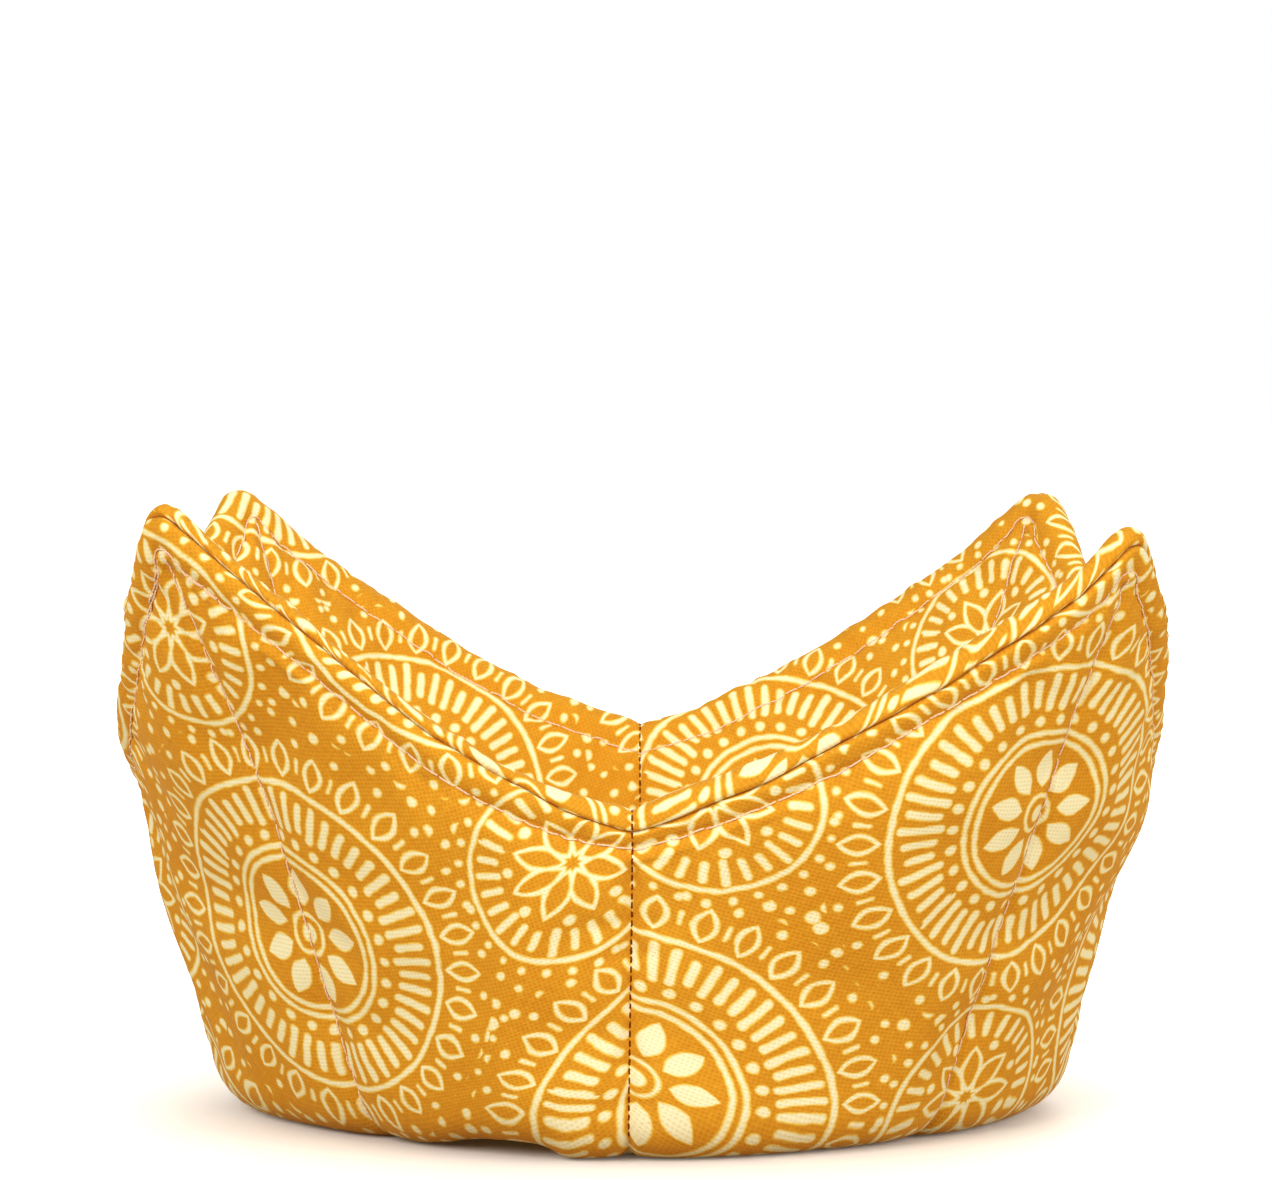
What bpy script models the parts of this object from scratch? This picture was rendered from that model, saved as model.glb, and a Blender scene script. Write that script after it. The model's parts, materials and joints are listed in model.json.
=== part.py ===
"""A microwave bowl cozy: a padded cloth bowl sewn from two darted squares, one outside and one inside.

Each square of cloth has a square of wadding behind it. Four darts, one in the middle of each side, lift the
square into a bowl with four pointed corners. The two bowls are seamed together round the rim, turned right
side out and topstitched. All sizes are in metres, +Z is up, and the base stands on z = 0.

A place on the wall is given by rho, the distance from the middle of the base measured along the cloth, by its
azimuth round the bowl, and by its depth: the height above the middle of the wall, positive on the outside.
"""

import math

import bpy
import bmesh
from mathutils import Vector

# The cut squares and their darts
CUT_SQUARE = 0.254
SEAM_ALLOWANCE = 0.00635
DART_HALF_WIDTH = 0.03175
DART_DEPTH = 0.0635
TIP_RADIUS = 0.005

# The layers
CLOTH = 0.0006
WADDING = 0.00245
LAYER_GAP = 0.0003

# The bowl's shape
DART_POINT_ABOVE_BASE = 0.0010
BASE_PULL_IN = 0.08
INSIDE_FOLD_RADIUS = 0.0035
DART_FOOT_LEAN = math.radians(12.0)
DART_RIM_LEAN = math.radians(23.0)
CORNER_FOOT_LEAN = math.radians(23.0)
CORNER_TIP_LEAN = math.radians(24.0)

# The stitching
THREAD = 0.0005
THREAD_GAP = 0.0002
TOPSTITCH_INSET = 0.0062
SEAM_DROP = 0.0028
TOPSTITCH_GROOVE_HALF_WIDTH = 0.0009
GROOVE_HALF_WIDTH = 0.0016
WIDEST_GROOVE_SHARE = 0.18
STITCH_CLEARANCE = 0.0022
DIMPLE_RADIUS = 0.004

# Sides in the order of azimuth: a dart lies at 90 degrees times its place, and its corner 45 degrees further
DART_NAMES = ("right", "back", "left", "front")

# How finely the cloth is divided
COLUMN_SHARES = (0.34, 0.67)
FOLD_STEPS = 3
WALL_STEPS = 2
ROLL_STEPS = 4
CORD_SMOOTHNESS = 1

CLOTH_COLOUR = (0.78, 0.36, 0.045, 1.0)
WADDING_COLOUR = (0.86, 0.84, 0.78, 1.0)
THREAD_COLOUR = (0.86, 0.62, 0.48, 1.0)
SEAM_THREAD_COLOUR = (0.16, 0.07, 0.02, 1.0)

# What follows from those sizes
SIDE = CUT_SQUARE / 2 - SEAM_ALLOWANCE
HALF_WALL = CLOTH + LAYER_GAP + WADDING + LAYER_GAP / 2
FOLD_RADIUS = INSIDE_FOLD_RADIUS + HALF_WALL
DART_POINT = CUT_SQUARE / 2 - DART_DEPTH
BASE_RADIUS = DART_POINT - DART_POINT_ABOVE_BASE
DART_GAP = DART_HALF_WIDTH * (DART_DEPTH - SEAM_ALLOWANCE) / DART_DEPTH
GROOVE_DEPTH = THREAD_GAP + THREAD + LAYER_GAP / 3
DIMPLE_DEPTH = GROOVE_DEPTH + THREAD + THREAD_GAP
ALLOWANCE_DEPTH = LAYER_GAP / 2 + CLOTH
HEM_INSET = SEAM_DROP + SEAM_ALLOWANCE
DART_RIM_RHO = math.hypot(SIDE, DART_GAP)
DART_RIM_ANGLE = math.atan2(DART_GAP, SIDE)
CORNER_RHO = math.hypot(SIDE, SIDE)
EIGHTH = math.pi / 4


def base_radius(azimuth):
    """How far the flat base reaches. It pulls in a little between the darts."""
    return BASE_RADIUS * (1 - BASE_PULL_IN * math.sin(2 * azimuth) ** 2)


def foot_lean(azimuth):
    """The wall's lean from upright where it leaves the base's fold."""
    share = math.sin(2 * azimuth) ** 2
    return DART_FOOT_LEAN + (CORNER_FOOT_LEAN - DART_FOOT_LEAN) * share


def lean_rate(azimuth):
    """How fast that lean changes up the wall, in radians for each metre of cloth."""
    share = math.sin(2 * azimuth) ** 2
    dart_rate = (DART_RIM_LEAN - DART_FOOT_LEAN) / (DART_RIM_RHO - BASE_RADIUS)
    corner_rate = (CORNER_TIP_LEAN - CORNER_FOOT_LEAN) / (CORNER_RHO - base_radius(EIGHTH))
    return dart_rate + (corner_rate - dart_rate) * share


def fold_end(azimuth):
    """The rho at which the base's fold ends and the wall begins."""
    return base_radius(azimuth) + FOLD_RADIUS * (math.pi / 2 - foot_lean(azimuth))


def middle(rho, azimuth):
    """A point on the middle of the wall."""
    base = base_radius(azimuth)
    radius, height = min(rho, base), HALF_WALL
    if rho > base:
        foot = foot_lean(azimuth)
        turned = min((rho - base) / FOLD_RADIUS, math.pi / 2 - foot)
        radius += FOLD_RADIUS * math.sin(turned)
        height += FOLD_RADIUS * (1 - math.cos(turned))
    if rho > fold_end(azimuth):
        rate = lean_rate(azimuth)
        lean = foot + rate * (rho - fold_end(azimuth))
        if abs(rate) < 1e-6:
            radius += (rho - fold_end(azimuth)) * math.sin(foot)
            height += (rho - fold_end(azimuth)) * math.cos(foot)
        else:
            radius += (math.cos(foot) - math.cos(lean)) / rate
            height += (math.sin(lean) - math.sin(foot)) / rate
    return Vector((radius * math.cos(azimuth), radius * math.sin(azimuth), height))


def outward(rho, azimuth):
    """The direction out of the wall at that point."""
    if rho <= base_radius(azimuth):
        return Vector((0.0, 0.0, -1.0))
    step = 1e-5
    along = middle(rho + step, azimuth) - middle(rho - step, azimuth)
    turn = step / rho
    around = middle(rho, azimuth + turn) - middle(rho, azimuth - turn)
    return around.cross(along).normalized()


def rim_rho(share):
    """(rho of the rim's top, cosine of the rim's slant) at a share of the way from a dart to its corner.

    In the flat square the rim is a straight side, rounded by TIP_RADIUS at the corner.
    """
    angle = DART_RIM_ANGLE + share * (EIGHTH - DART_RIM_ANGLE)
    rho, slant = SIDE / math.cos(angle), angle
    centre = SIDE - TIP_RADIUS
    if rho * math.sin(angle) > centre:
        spread = centre * (math.cos(angle) - math.sin(angle))
        rho = centre * (math.cos(angle) + math.sin(angle))
        rho += math.sqrt(max(TIP_RADIUS**2 - spread**2, 0.0))
        across, up = rho * math.cos(angle) - centre, rho * math.sin(angle) - centre
        slant = angle - math.atan2(up, across)
    return rho, math.cos(slant)


TIP_RHO = rim_rho(1.0)[0]
ARC_SHARE = (math.atan2(SIDE - TIP_RADIUS, SIDE) - DART_RIM_ANGLE) / (EIGHTH - DART_RIM_ANGLE)


def spread_at(rho):
    """How much further apart two columns are than at the darts: the corner keeps its flat width as it narrows."""
    if rho <= DART_RIM_RHO:
        return 1.0
    above = (rho - DART_RIM_RHO) / (TIP_RHO - DART_RIM_RHO)
    tip = middle(TIP_RHO, EIGHTH)
    at_tip = TIP_RHO / math.hypot(tip.x, tip.y) * (EIGHTH - DART_RIM_ANGLE) / EIGHTH
    return 1 + (at_tip - 1) * above


class Column:
    """One line from the middle of the base up to the rim, in one half of one corner's petal."""

    def __init__(self, side, place, mirrored):
        self.side, self.place, self.mirrored = side, place, mirrored

    def share(self, rho):
        """How far the column lies from its dart, 0, to its corner, 1. Columns beside a stitch line keep close to it."""
        beside = min(GROOVE_HALF_WIDTH / (max(rho, DIMPLE_RADIUS) * EIGHTH), WIDEST_GROOVE_SHARE)
        tip = min(ARC_SHARE, 1 - 2 * beside)
        between = [beside + (tip - beside) * part for part in COLUMN_SHARES]
        return (0.0, beside, *between, tip, 1 - beside, 1.0)[self.place]

    def azimuth(self, rho):
        local = EIGHTH - (1 - self.share(rho)) * EIGHTH * spread_at(rho)
        start = self.side * 2 * EIGHTH
        return start + 2 * EIGHTH - local if self.mirrored else start + local

    def rho_below_rim(self, inset):
        """The rho that lies inset below the top of the rim, measured square to the rim."""
        rho, slant = rim_rho(self.share(DART_RIM_RHO))
        return rho - inset / slant

    def at(self, rho, depth):
        """The point at that rho and that depth from the middle of the wall."""
        azimuth = self.azimuth(rho)
        return middle(rho, azimuth) + outward(rho, azimuth) * depth


PLACES = len(COLUMN_SHARES) + 5
COLUMNS = [
    Column(side, place, mirrored)
    for side in range(4)
    for mirrored in (False, True)
    for place in (range(PLACES - 1) if not mirrored else range(PLACES - 1, 0, -1))
]
DIAGONAL = PLACES - 1


def groove(column, rho, topstitched):
    """How far the stitching pulls the cloth in."""
    if rho <= DIMPLE_RADIUS:
        return DIMPLE_DEPTH
    if topstitched:
        return GROOVE_DEPTH
    if column.place == DIAGONAL:
        return GROOVE_DEPTH
    if column.place == 0 and rho > DART_POINT:
        return GROOVE_DEPTH
    return 0.0


class Section:
    """One bowl's cloth and wadding at one column, cut through from the base to the rim.

    drop is how far the bowl's edge lies below the top of the rim.
    """

    def __init__(self, column, drop):
        self.column = column
        rim_groove = GROOVE_DEPTH if column.place == 0 else 0.0
        self.outer_depth = HALF_WALL - rim_groove - CLOTH / 2
        self.inner_depth = LAYER_GAP / 2 + CLOTH / 2
        self.roll_radius = (self.outer_depth - self.inner_depth) / 2
        self.roll_depth = (self.outer_depth + self.inner_depth) / 2
        self.edge_inset = drop
        self.roll_inset = drop + self.roll_radius + CLOTH / 2

    def rows(self):
        """(rho, groove) of the rows from the base up to the start of the rim's roll."""
        column = self.column
        azimuth = column.azimuth(BASE_RADIUS)
        base, top_of_fold = base_radius(azimuth), fold_end(azimuth)
        rhos = [DIMPLE_RADIUS, DIMPLE_RADIUS * 2.5, base]
        rhos += [base + (top_of_fold - base) * step / FOLD_STEPS for step in range(1, FOLD_STEPS + 1)]
        below_allowance = column.rho_below_rim(HEM_INSET + 2 * LAYER_GAP)
        rhos += [
            top_of_fold + (below_allowance - top_of_fold) * step / WALL_STEPS for step in range(1, WALL_STEPS + 1)
        ]
        rhos.append(column.rho_below_rim(HEM_INSET + LAYER_GAP))
        rows = [(rho, groove(column, rho, False)) for rho in rhos]
        for side in (1, 0, -1):
            rho = column.rho_below_rim(TOPSTITCH_INSET + side * TOPSTITCH_GROOVE_HALF_WIDTH)
            rows.append((rho, groove(column, rho, side == 0)))
        return rows

    def cloth(self):
        """(rho, depth) of the cloth's section: up its right side, over the roll and back down its wrong side."""
        column = self.column
        right = [(rho, HALF_WALL - pulled) for rho, pulled in self.rows()]
        wrong = [(rho, depth - CLOTH) for rho, depth in right]
        for points, radius in ((right, self.roll_radius + CLOTH / 2), (wrong, self.roll_radius - CLOTH / 2)):
            for step in range(ROLL_STEPS + 1):
                turned = math.pi * step / ROLL_STEPS
                inset = self.roll_inset - radius * math.sin(turned)
                points.append((column.rho_below_rim(inset), self.roll_depth + radius * math.cos(turned)))
        hem = column.rho_below_rim(HEM_INSET)
        right.append((hem, self.inner_depth - CLOTH / 2))
        wrong.append((hem, self.inner_depth + CLOTH / 2))
        return right + wrong[::-1]

    def wadding(self):
        """(rho, depth) of the wadding's section: up its outside, round its top edge and down its inside."""
        column = self.column
        rows = self.rows()
        outside = [(rho, HALF_WALL - CLOTH - LAYER_GAP - pulled) for rho, pulled in rows]
        beside_allowance = ALLOWANCE_DEPTH + LAYER_GAP
        inside = [(rho, LAYER_GAP / 2) for rho, pulled in rows[:-4]]
        inside += [(rho, beside_allowance) for rho, pulled in rows[-4:]]
        top = column.rho_below_rim(self.roll_inset)
        ridge = column.rho_below_rim(self.edge_inset + CLOTH + LAYER_GAP)
        outside.append((top, self.outer_depth - CLOTH / 2 - LAYER_GAP))
        outside.append((ridge, self.roll_depth))
        inside.append((top, beside_allowance))
        return outside + inside[::-1]


COVER_SECTIONS = [Section(column, SEAM_DROP) for column in COLUMNS]
LINING_SECTIONS = [Section(column, 0.0) for column in COLUMNS]


def material(name, colour, roughness):
    made = bpy.data.materials.new(name)
    made.use_nodes = True
    shader = made.node_tree.nodes["Principled BSDF"]
    shader.inputs["Base Color"].default_value = colour
    shader.inputs["Roughness"].default_value = roughness
    shader.inputs["Metallic"].default_value = 0.0
    return made


def add_object(name, data, finish):
    made = bpy.data.objects.new(name, data)
    bpy.context.collection.objects.link(made)
    data.materials.append(finish)
    return made


def shell(name, sections, pole_depths, facing, finish):
    """A closed shell: each section is one column's outline, and the outlines are joined all the way round.

    facing is 1 for the outer bowl and -1 for the inner one, whose depths are mirrored in the wall's middle.
    """
    mesh = bpy.data.meshes.new(name)
    work = bmesh.new()
    rows = list(zip(*sections))
    rings = [
        [work.verts.new(column.at(rho, facing * depth)) for column, (rho, depth) in zip(COLUMNS, row)]
        for row in rows
    ]
    for number, (first, second) in enumerate(zip(rings, rings[1:])):
        rising = rows[number + 1][0][0] > rows[number][0][0]
        low, high = (first, second) if rising else (second, first)
        for i in range(len(low)):
            j = (i + 1) % len(low)
            if COLUMNS[i].mirrored:
                work.faces.new((low[i], low[j], high[i]))
                work.faces.new((low[j], high[j], high[i]))
            else:
                work.faces.new((low[i], low[j], high[j]))
                work.faces.new((low[i], high[j], high[i]))
    for ring, depth in ((rings[0], pole_depths[0]), (rings[-1], pole_depths[1])):
        pole = work.verts.new(COLUMNS[0].at(0.0, facing * depth))
        for i in range(len(ring)):
            work.faces.new((pole, ring[i], ring[(i + 1) % len(ring)]))
    bmesh.ops.recalc_face_normals(work, faces=work.faces)
    work.to_mesh(mesh)
    work.free()
    mesh.shade_smooth()
    mesh.set_sharp_from_angle(angle=math.radians(50))
    return add_object(name, mesh, finish)


def thread(name, points, closed, finish):
    """One run of sewing thread: a round cord through those points."""
    curve = bpy.data.curves.new(name, "CURVE")
    curve.dimensions = "3D"
    curve.bevel_depth = THREAD / 2
    curve.bevel_resolution = CORD_SMOOTHNESS
    curve.use_fill_caps = not closed
    spline = curve.splines.new("POLY")
    spline.points.add(len(points) - 1)
    for point, place in zip(spline.points, points):
        point.co = (*place, 1.0)
    spline.use_cyclic_u = closed
    return add_object(name, curve, finish)


def stitch_depth(pulled, facing):
    """The depth of a thread's centre where the cloth is pulled in that far."""
    return facing * (HALF_WALL - pulled + THREAD_GAP + THREAD / 2)


def line_rhos(section):
    """The rows of a column that a stitch line runs through, from the base's dimple up to below the topstitching."""
    end = section.column.rho_below_rim(TOPSTITCH_INSET + STITCH_CLEARANCE)
    return [rho for rho, pulled in section.rows() if rho < end] + [end]


def topstitch(sections, facing):
    """The run of thread that goes all round below the rim."""
    return [
        s.column.at(s.column.rho_below_rim(TOPSTITCH_INSET), stitch_depth(GROOVE_DEPTH, facing)) for s in sections
    ]


def quilting(sections, first_side, facing, under):
    """A diagonal run of thread from one corner, across the base, to the opposite corner.

    The second of the two crossing runs passes under the first one, in the dimple.
    """
    arms = []
    for side in (first_side, first_side + 2):
        section = next(s for s in sections if s.column.side == side and s.column.place == DIAGONAL)
        arm = []
        for rho in line_rhos(section):
            deep = DIMPLE_DEPTH if under and rho <= DIMPLE_RADIUS else GROOVE_DEPTH
            arm.append(section.column.at(rho, stitch_depth(deep, facing)))
        arms.append(arm)
    return arms[0][::-1] + arms[1]


def dart_seam(sections, side, facing):
    """The run of thread that closes one dart, from its point up to below the topstitching."""
    section = next(s for s in sections if s.column.side == side and s.column.place == 0)
    rhos = [rho for rho in line_rhos(section) if rho > DART_POINT]
    return [section.column.at(rho, stitch_depth(GROOVE_DEPTH, facing)) for rho in rhos]


def rim_seam(sections):
    """The run of thread that joins the bowls: in the notch between the cover's roll and the lining's face."""
    depth = THREAD_GAP + THREAD / 2 - LAYER_GAP / 2
    points = []
    for section in sections:
        reach = section.roll_inset - section.edge_inset + THREAD_GAP + THREAD / 2
        across = section.roll_depth - depth
        inset = section.roll_inset - math.sqrt(reach**2 - across**2)
        points.append(section.column.at(section.column.rho_below_rim(inset), depth))
    return points


def build():
    for old in list(bpy.data.objects):
        bpy.data.objects.remove(old)
    print_cloth = material("printed_cotton", CLOTH_COLOUR, 0.9)
    wadding = material("cotton_wadding", WADDING_COLOUR, 1.0)
    stitching = material("stitching_thread", THREAD_COLOUR, 0.6)
    seam_thread = material("seam_thread", SEAM_THREAD_COLOUR, 0.7)

    cloth_poles = (HALF_WALL - DIMPLE_DEPTH, HALF_WALL - DIMPLE_DEPTH - CLOTH)
    wadding_poles = (HALF_WALL - DIMPLE_DEPTH - CLOTH - LAYER_GAP, LAYER_GAP / 2)
    for facing, bowl, sections in ((1, "cover", COVER_SECTIONS), (-1, "lining", LINING_SECTIONS)):
        shell(bowl + "_cloth", [section.cloth() for section in sections], cloth_poles, facing, print_cloth)
        shell(bowl + "_wadding", [section.wadding() for section in sections], wadding_poles, facing, wadding)
        thread(bowl + "_topstitch_thread", topstitch(sections, facing), True, stitching)
        thread(bowl + "_quilting_thread_a", quilting(sections, 0, facing, False), False, stitching)
        thread(bowl + "_quilting_thread_b", quilting(sections, 1, facing, True), False, stitching)
        for side, name in enumerate(DART_NAMES):
            thread(f"{bowl}_dart_thread_{name}", dart_seam(sections, side, facing), False, seam_thread)
    thread("rim_seam_thread", rim_seam(COVER_SECTIONS), True, seam_thread)


build()
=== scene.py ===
"""The looks of the microwave bowl cozy: its printed cotton, seams, puckers and separate stitches."""

import json
import math
from functools import partialmethod

import bpy
import numpy as np
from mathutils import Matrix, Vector

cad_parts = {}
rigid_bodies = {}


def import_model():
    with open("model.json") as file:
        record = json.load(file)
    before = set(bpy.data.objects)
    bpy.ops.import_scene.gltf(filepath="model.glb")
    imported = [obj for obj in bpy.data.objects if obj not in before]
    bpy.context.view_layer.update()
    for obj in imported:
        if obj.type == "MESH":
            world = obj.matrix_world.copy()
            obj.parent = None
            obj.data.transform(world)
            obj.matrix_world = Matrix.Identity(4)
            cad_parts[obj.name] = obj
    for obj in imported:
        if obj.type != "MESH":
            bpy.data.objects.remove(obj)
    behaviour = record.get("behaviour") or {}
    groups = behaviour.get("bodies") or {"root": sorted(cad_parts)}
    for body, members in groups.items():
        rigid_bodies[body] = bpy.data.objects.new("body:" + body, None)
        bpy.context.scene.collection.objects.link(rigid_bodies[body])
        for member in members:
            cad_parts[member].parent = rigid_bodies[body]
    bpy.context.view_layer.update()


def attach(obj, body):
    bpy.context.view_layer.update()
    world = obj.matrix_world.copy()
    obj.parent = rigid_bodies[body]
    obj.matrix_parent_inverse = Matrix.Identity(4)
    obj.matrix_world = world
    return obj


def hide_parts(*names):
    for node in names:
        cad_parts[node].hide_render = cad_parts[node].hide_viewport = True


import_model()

# The sizes of part.py, in metres
CUT_SQUARE = 0.254
SEAM_ALLOWANCE = 0.00635
DART_HALF_WIDTH = 0.03175
DART_DEPTH = 0.0635
DART_POINT_ABOVE_BASE = 0.0010
BASE_PULL_IN = 0.08
TIP_RADIUS = 0.005
HALF_WALL = 0.0035
FOLD_RADIUS = 0.0070
DART_FOOT_LEAN = math.radians(12.0)
DART_RIM_LEAN = math.radians(23.0)
CORNER_FOOT_LEAN = math.radians(23.0)
CORNER_TIP_LEAN = math.radians(24.0)
TOPSTITCH_INSET = 0.0062

SIDE = CUT_SQUARE / 2 - SEAM_ALLOWANCE
DART_POINT = CUT_SQUARE / 2 - DART_DEPTH
BASE_RADIUS = DART_POINT - DART_POINT_ABOVE_BASE
DART_GAP = DART_HALF_WIDTH * (DART_DEPTH - SEAM_ALLOWANCE) / DART_DEPTH
DART_RIM_RHO = math.hypot(SIDE, DART_GAP)
DART_RIM_ANGLE = math.atan2(DART_GAP, SIDE)
CORNER_RHO = math.hypot(SIDE, SIDE)
EIGHTH = math.pi / 4
MM = 0.001

# The UV map that holds each point's place in the flat cut, in metres
CUT_PLANE = "cut_plane"

# Colours of the print, as linear light
GROUND_DARK = (0.545, 0.185, 0.004)
GROUND_LIGHT = (0.79, 0.385, 0.024)
HALO_DARK = (0.80, 0.50, 0.055)
HALO_LIGHT = (0.92, 0.68, 0.12)
CREAM_DARK = (0.86, 0.76, 0.36)
CREAM_LIGHT = (0.96, 0.91, 0.62)

# How finely the cloth is modelled: columns in half of one corner's petal, and rows up the wall
HALF_COLUMNS = 144
BASE_ROWS = 8
FOLD_ROWS = 8
WALL_ROWS = 36
HEM_ROWS = 8
ROLL_ROWS = 20
DIVE_ROWS = 3
WALL_TOP_INSET = 9.0 * MM

# The rim in section, in millimetres: how far below its top and how far out from the wall's middle.
# It runs from below the topstitching up to the top, and the other side mirrors it.
RIM_OUTLINE = (
    (9.0, 3.5), (7.5, 3.35), (6.2, 2.55), (5.0, 2.9), (3.6, 3.0),
    (2.3, 2.75), (1.1, 2.05), (0.3, 1.15), (0.0, 0.0),
)
TOPSTITCH_GROOVE_INSET = 6.2

# Where the seam lies, in millimetres out from the rim's top along the outline: at the darts, and towards
# the corner in each half of each corner's petal. At it the cloth turns in over a lip and dives out of sight.
SEAM_AT_DART = 4.7
SEAM_AT_CORNERS = ((2.8, 2.5), (3.1, 2.6), (2.4, 1.3), (3.5, 2.9))
LIP_RADIUS = 0.95
LIP_DEPTH = 1.5
LIP_GAP = 0.05
DIVE_DEPTH = 2.2
# How far the cover's edge lies back from the lining's, at the rim's front left
RECESS = 0.85

# The stitches: how far apart they start, the gaps between them, the thread's radius, how high they arch, how
# deep they sink and how far they sway from the line
QUILTING = dict(pitch=3.2 * MM, gap=0.24 * MM, radius=0.14 * MM, arch=0.10 * MM, sway=0.12)
TOPSTITCHING = dict(QUILTING, pitch=3.0 * MM)
DART_STITCHING = dict(
    pitch=1.55 * MM, gap=0.58 * MM, radius=0.19 * MM, arch=0.02 * MM, sink=0.12 * MM, sway=0.03
)
# the rim seam's dark thread is partly a real seam and partly painted shade: its dark line darkens the notch
# the way the notch's shadow would
RIM_SEAM_STITCHING_AND_NOTCH_SHADE = dict(
    pitch=1.9 * MM, gap=0.5 * MM, radius=0.20 * MM, arch=0.02 * MM, sink=0.35 * MM, sway=0.07
)


def smooth(x):
    x = np.clip(x, 0.0, 1.0)
    return x * x * (3 - 2 * x)


def base_radius(azimuth):
    return BASE_RADIUS * (1 - BASE_PULL_IN * np.sin(2 * azimuth) ** 2)


def foot_lean(azimuth):
    return DART_FOOT_LEAN + (CORNER_FOOT_LEAN - DART_FOOT_LEAN) * np.sin(2 * azimuth) ** 2


def lean_rate(azimuth):
    dart_rate = (DART_RIM_LEAN - DART_FOOT_LEAN) / (DART_RIM_RHO - BASE_RADIUS)
    corner_rate = (CORNER_TIP_LEAN - CORNER_FOOT_LEAN) / (CORNER_RHO - BASE_RADIUS * (1 - BASE_PULL_IN))
    return dart_rate + (corner_rate - dart_rate) * np.sin(2 * azimuth) ** 2


def fold_end(azimuth):
    return base_radius(azimuth) + FOLD_RADIUS * (math.pi / 2 - foot_lean(azimuth))


def middle(rho, azimuth):
    """Points on the middle of the wall, as in part.py: rho along the cloth from the base's middle."""
    base, foot, rate = base_radius(azimuth), foot_lean(azimuth), lean_rate(azimuth)
    turned = np.clip((rho - base) / FOLD_RADIUS, 0.0, math.pi / 2 - foot)
    radius = np.minimum(rho, base) + FOLD_RADIUS * np.sin(turned)
    height = HALF_WALL + FOLD_RADIUS * (1 - np.cos(turned))
    above = np.maximum(rho - fold_end(azimuth), 0.0)
    rate = np.where(np.abs(rate) < 1e-6, 1e-6, rate)
    lean = foot + rate * above
    radius = radius + (np.cos(foot) - np.cos(lean)) / rate
    height = height + (np.sin(lean) - np.sin(foot)) / rate
    return np.stack([radius * np.cos(azimuth), radius * np.sin(azimuth), height], axis=-1)


def unit(vectors):
    return vectors / np.maximum(np.linalg.norm(vectors, axis=-1, keepdims=True), 1e-12)


def outward(rho, azimuth):
    step = 1e-5
    along = middle(rho + step, azimuth) - middle(rho - step, azimuth)
    turn = step / np.maximum(rho, 1e-3)
    around = middle(rho, azimuth + turn) - middle(rho, azimuth - turn)
    normal = unit(np.cross(around, along))
    normal[rho <= base_radius(azimuth)] = (0.0, 0.0, -1.0)
    return normal


def rim_rho(share):
    """rho of the rim's top and the cosine of its slant, at a share of the way from a dart to its corner."""
    angle = DART_RIM_ANGLE + share * (EIGHTH - DART_RIM_ANGLE)
    rho = SIDE / np.cos(angle)
    centre = SIDE - TIP_RADIUS
    rounded = rho * np.sin(angle) > centre
    spread = centre * (np.cos(angle) - np.sin(angle))
    corner = centre * (np.cos(angle) + np.sin(angle)) + np.sqrt(np.maximum(TIP_RADIUS**2 - spread**2, 0.0))
    rho = np.where(rounded, corner, rho)
    turned = angle - np.arctan2(rho * np.sin(angle) - centre, rho * np.cos(angle) - centre)
    return rho, np.cos(np.where(rounded, turned, angle))


TIP_RHO = rim_rho(np.array([1.0]))[0][0]
TIP_POINT = middle(np.array([TIP_RHO]), np.array([EIGHTH]))[0]


def spread_at(rho):
    above = np.clip((rho - DART_RIM_RHO) / (TIP_RHO - DART_RIM_RHO), 0.0, 1.0)
    at_tip = TIP_RHO / math.hypot(TIP_POINT[0], TIP_POINT[1]) * (EIGHTH - DART_RIM_ANGLE) / EIGHTH
    return 1 + (at_tip - 1) * above


def leg_angle(rho):
    """The polar angle of the dart's sewn edge in the flat square, at that distance from the middle."""
    length, gap = SIDE - DART_POINT, DART_GAP
    a, b = length**2 + gap**2, DART_POINT * length
    inside = np.clip(rho, DART_POINT, DART_RIM_RHO)
    t = (-b + np.sqrt(b**2 + a * (inside**2 - DART_POINT**2))) / a
    return np.arctan2(t * gap, DART_POINT + t * length)


def curve_through(points):
    """A smooth curve through the given points, as many short steps: (x, y, length so far)."""
    p = np.array(points, float)
    p = np.vstack([2 * p[0] - p[1], p, 2 * p[-1] - p[-2]])
    fine = []
    for a, b, c, d in zip(p, p[1:], p[2:], p[3:]):
        square, cube = 2 * a - 5 * b + 4 * c - d, 3 * b - a - 3 * c + d
        for t in np.linspace(0, 1, 16, endpoint=False):
            fine.append(0.5 * (2 * b + (c - a) * t + square * t**2 + cube * t**3))
    fine = np.array(fine + [p[-2]])
    run = np.concatenate([[0], np.cumsum(np.linalg.norm(np.diff(fine, axis=0), axis=1))])
    return np.column_stack([fine, run])


# The outline from one side over the top to the other, in millimetres from the top, the near side first
MIRRORED_OUTLINE = [(inset, -depth) for inset, depth in RIM_OUTLINE[-2::-1]]
OUTLINE = curve_through(list(RIM_OUTLINE) + MIRRORED_OUTLINE)
OUTLINE_AT = OUTLINE[-1, 2] / 2 - OUTLINE[:, 2]
OUTLINE_WALL = OUTLINE_AT[0]
GROOVE_POINT = int(np.argmin(np.abs(OUTLINE[: len(OUTLINE) // 3, 0] - TOPSTITCH_GROOVE_INSET)))
OUTLINE_TOPSTITCH = OUTLINE_AT[GROOVE_POINT]


def on_outline(at):
    """(inset, depth) and the outward direction, in millimetres, at a distance from the rim's top."""

    def read(where):
        return np.stack([np.interp(where, OUTLINE_AT[::-1], OUTLINE[::-1, k]) for k in (0, 1)], axis=-1)

    along = unit(read(at - 0.1) - read(at + 0.1))
    return read(at), np.stack([along[..., 1], -along[..., 0]], axis=-1)


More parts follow.
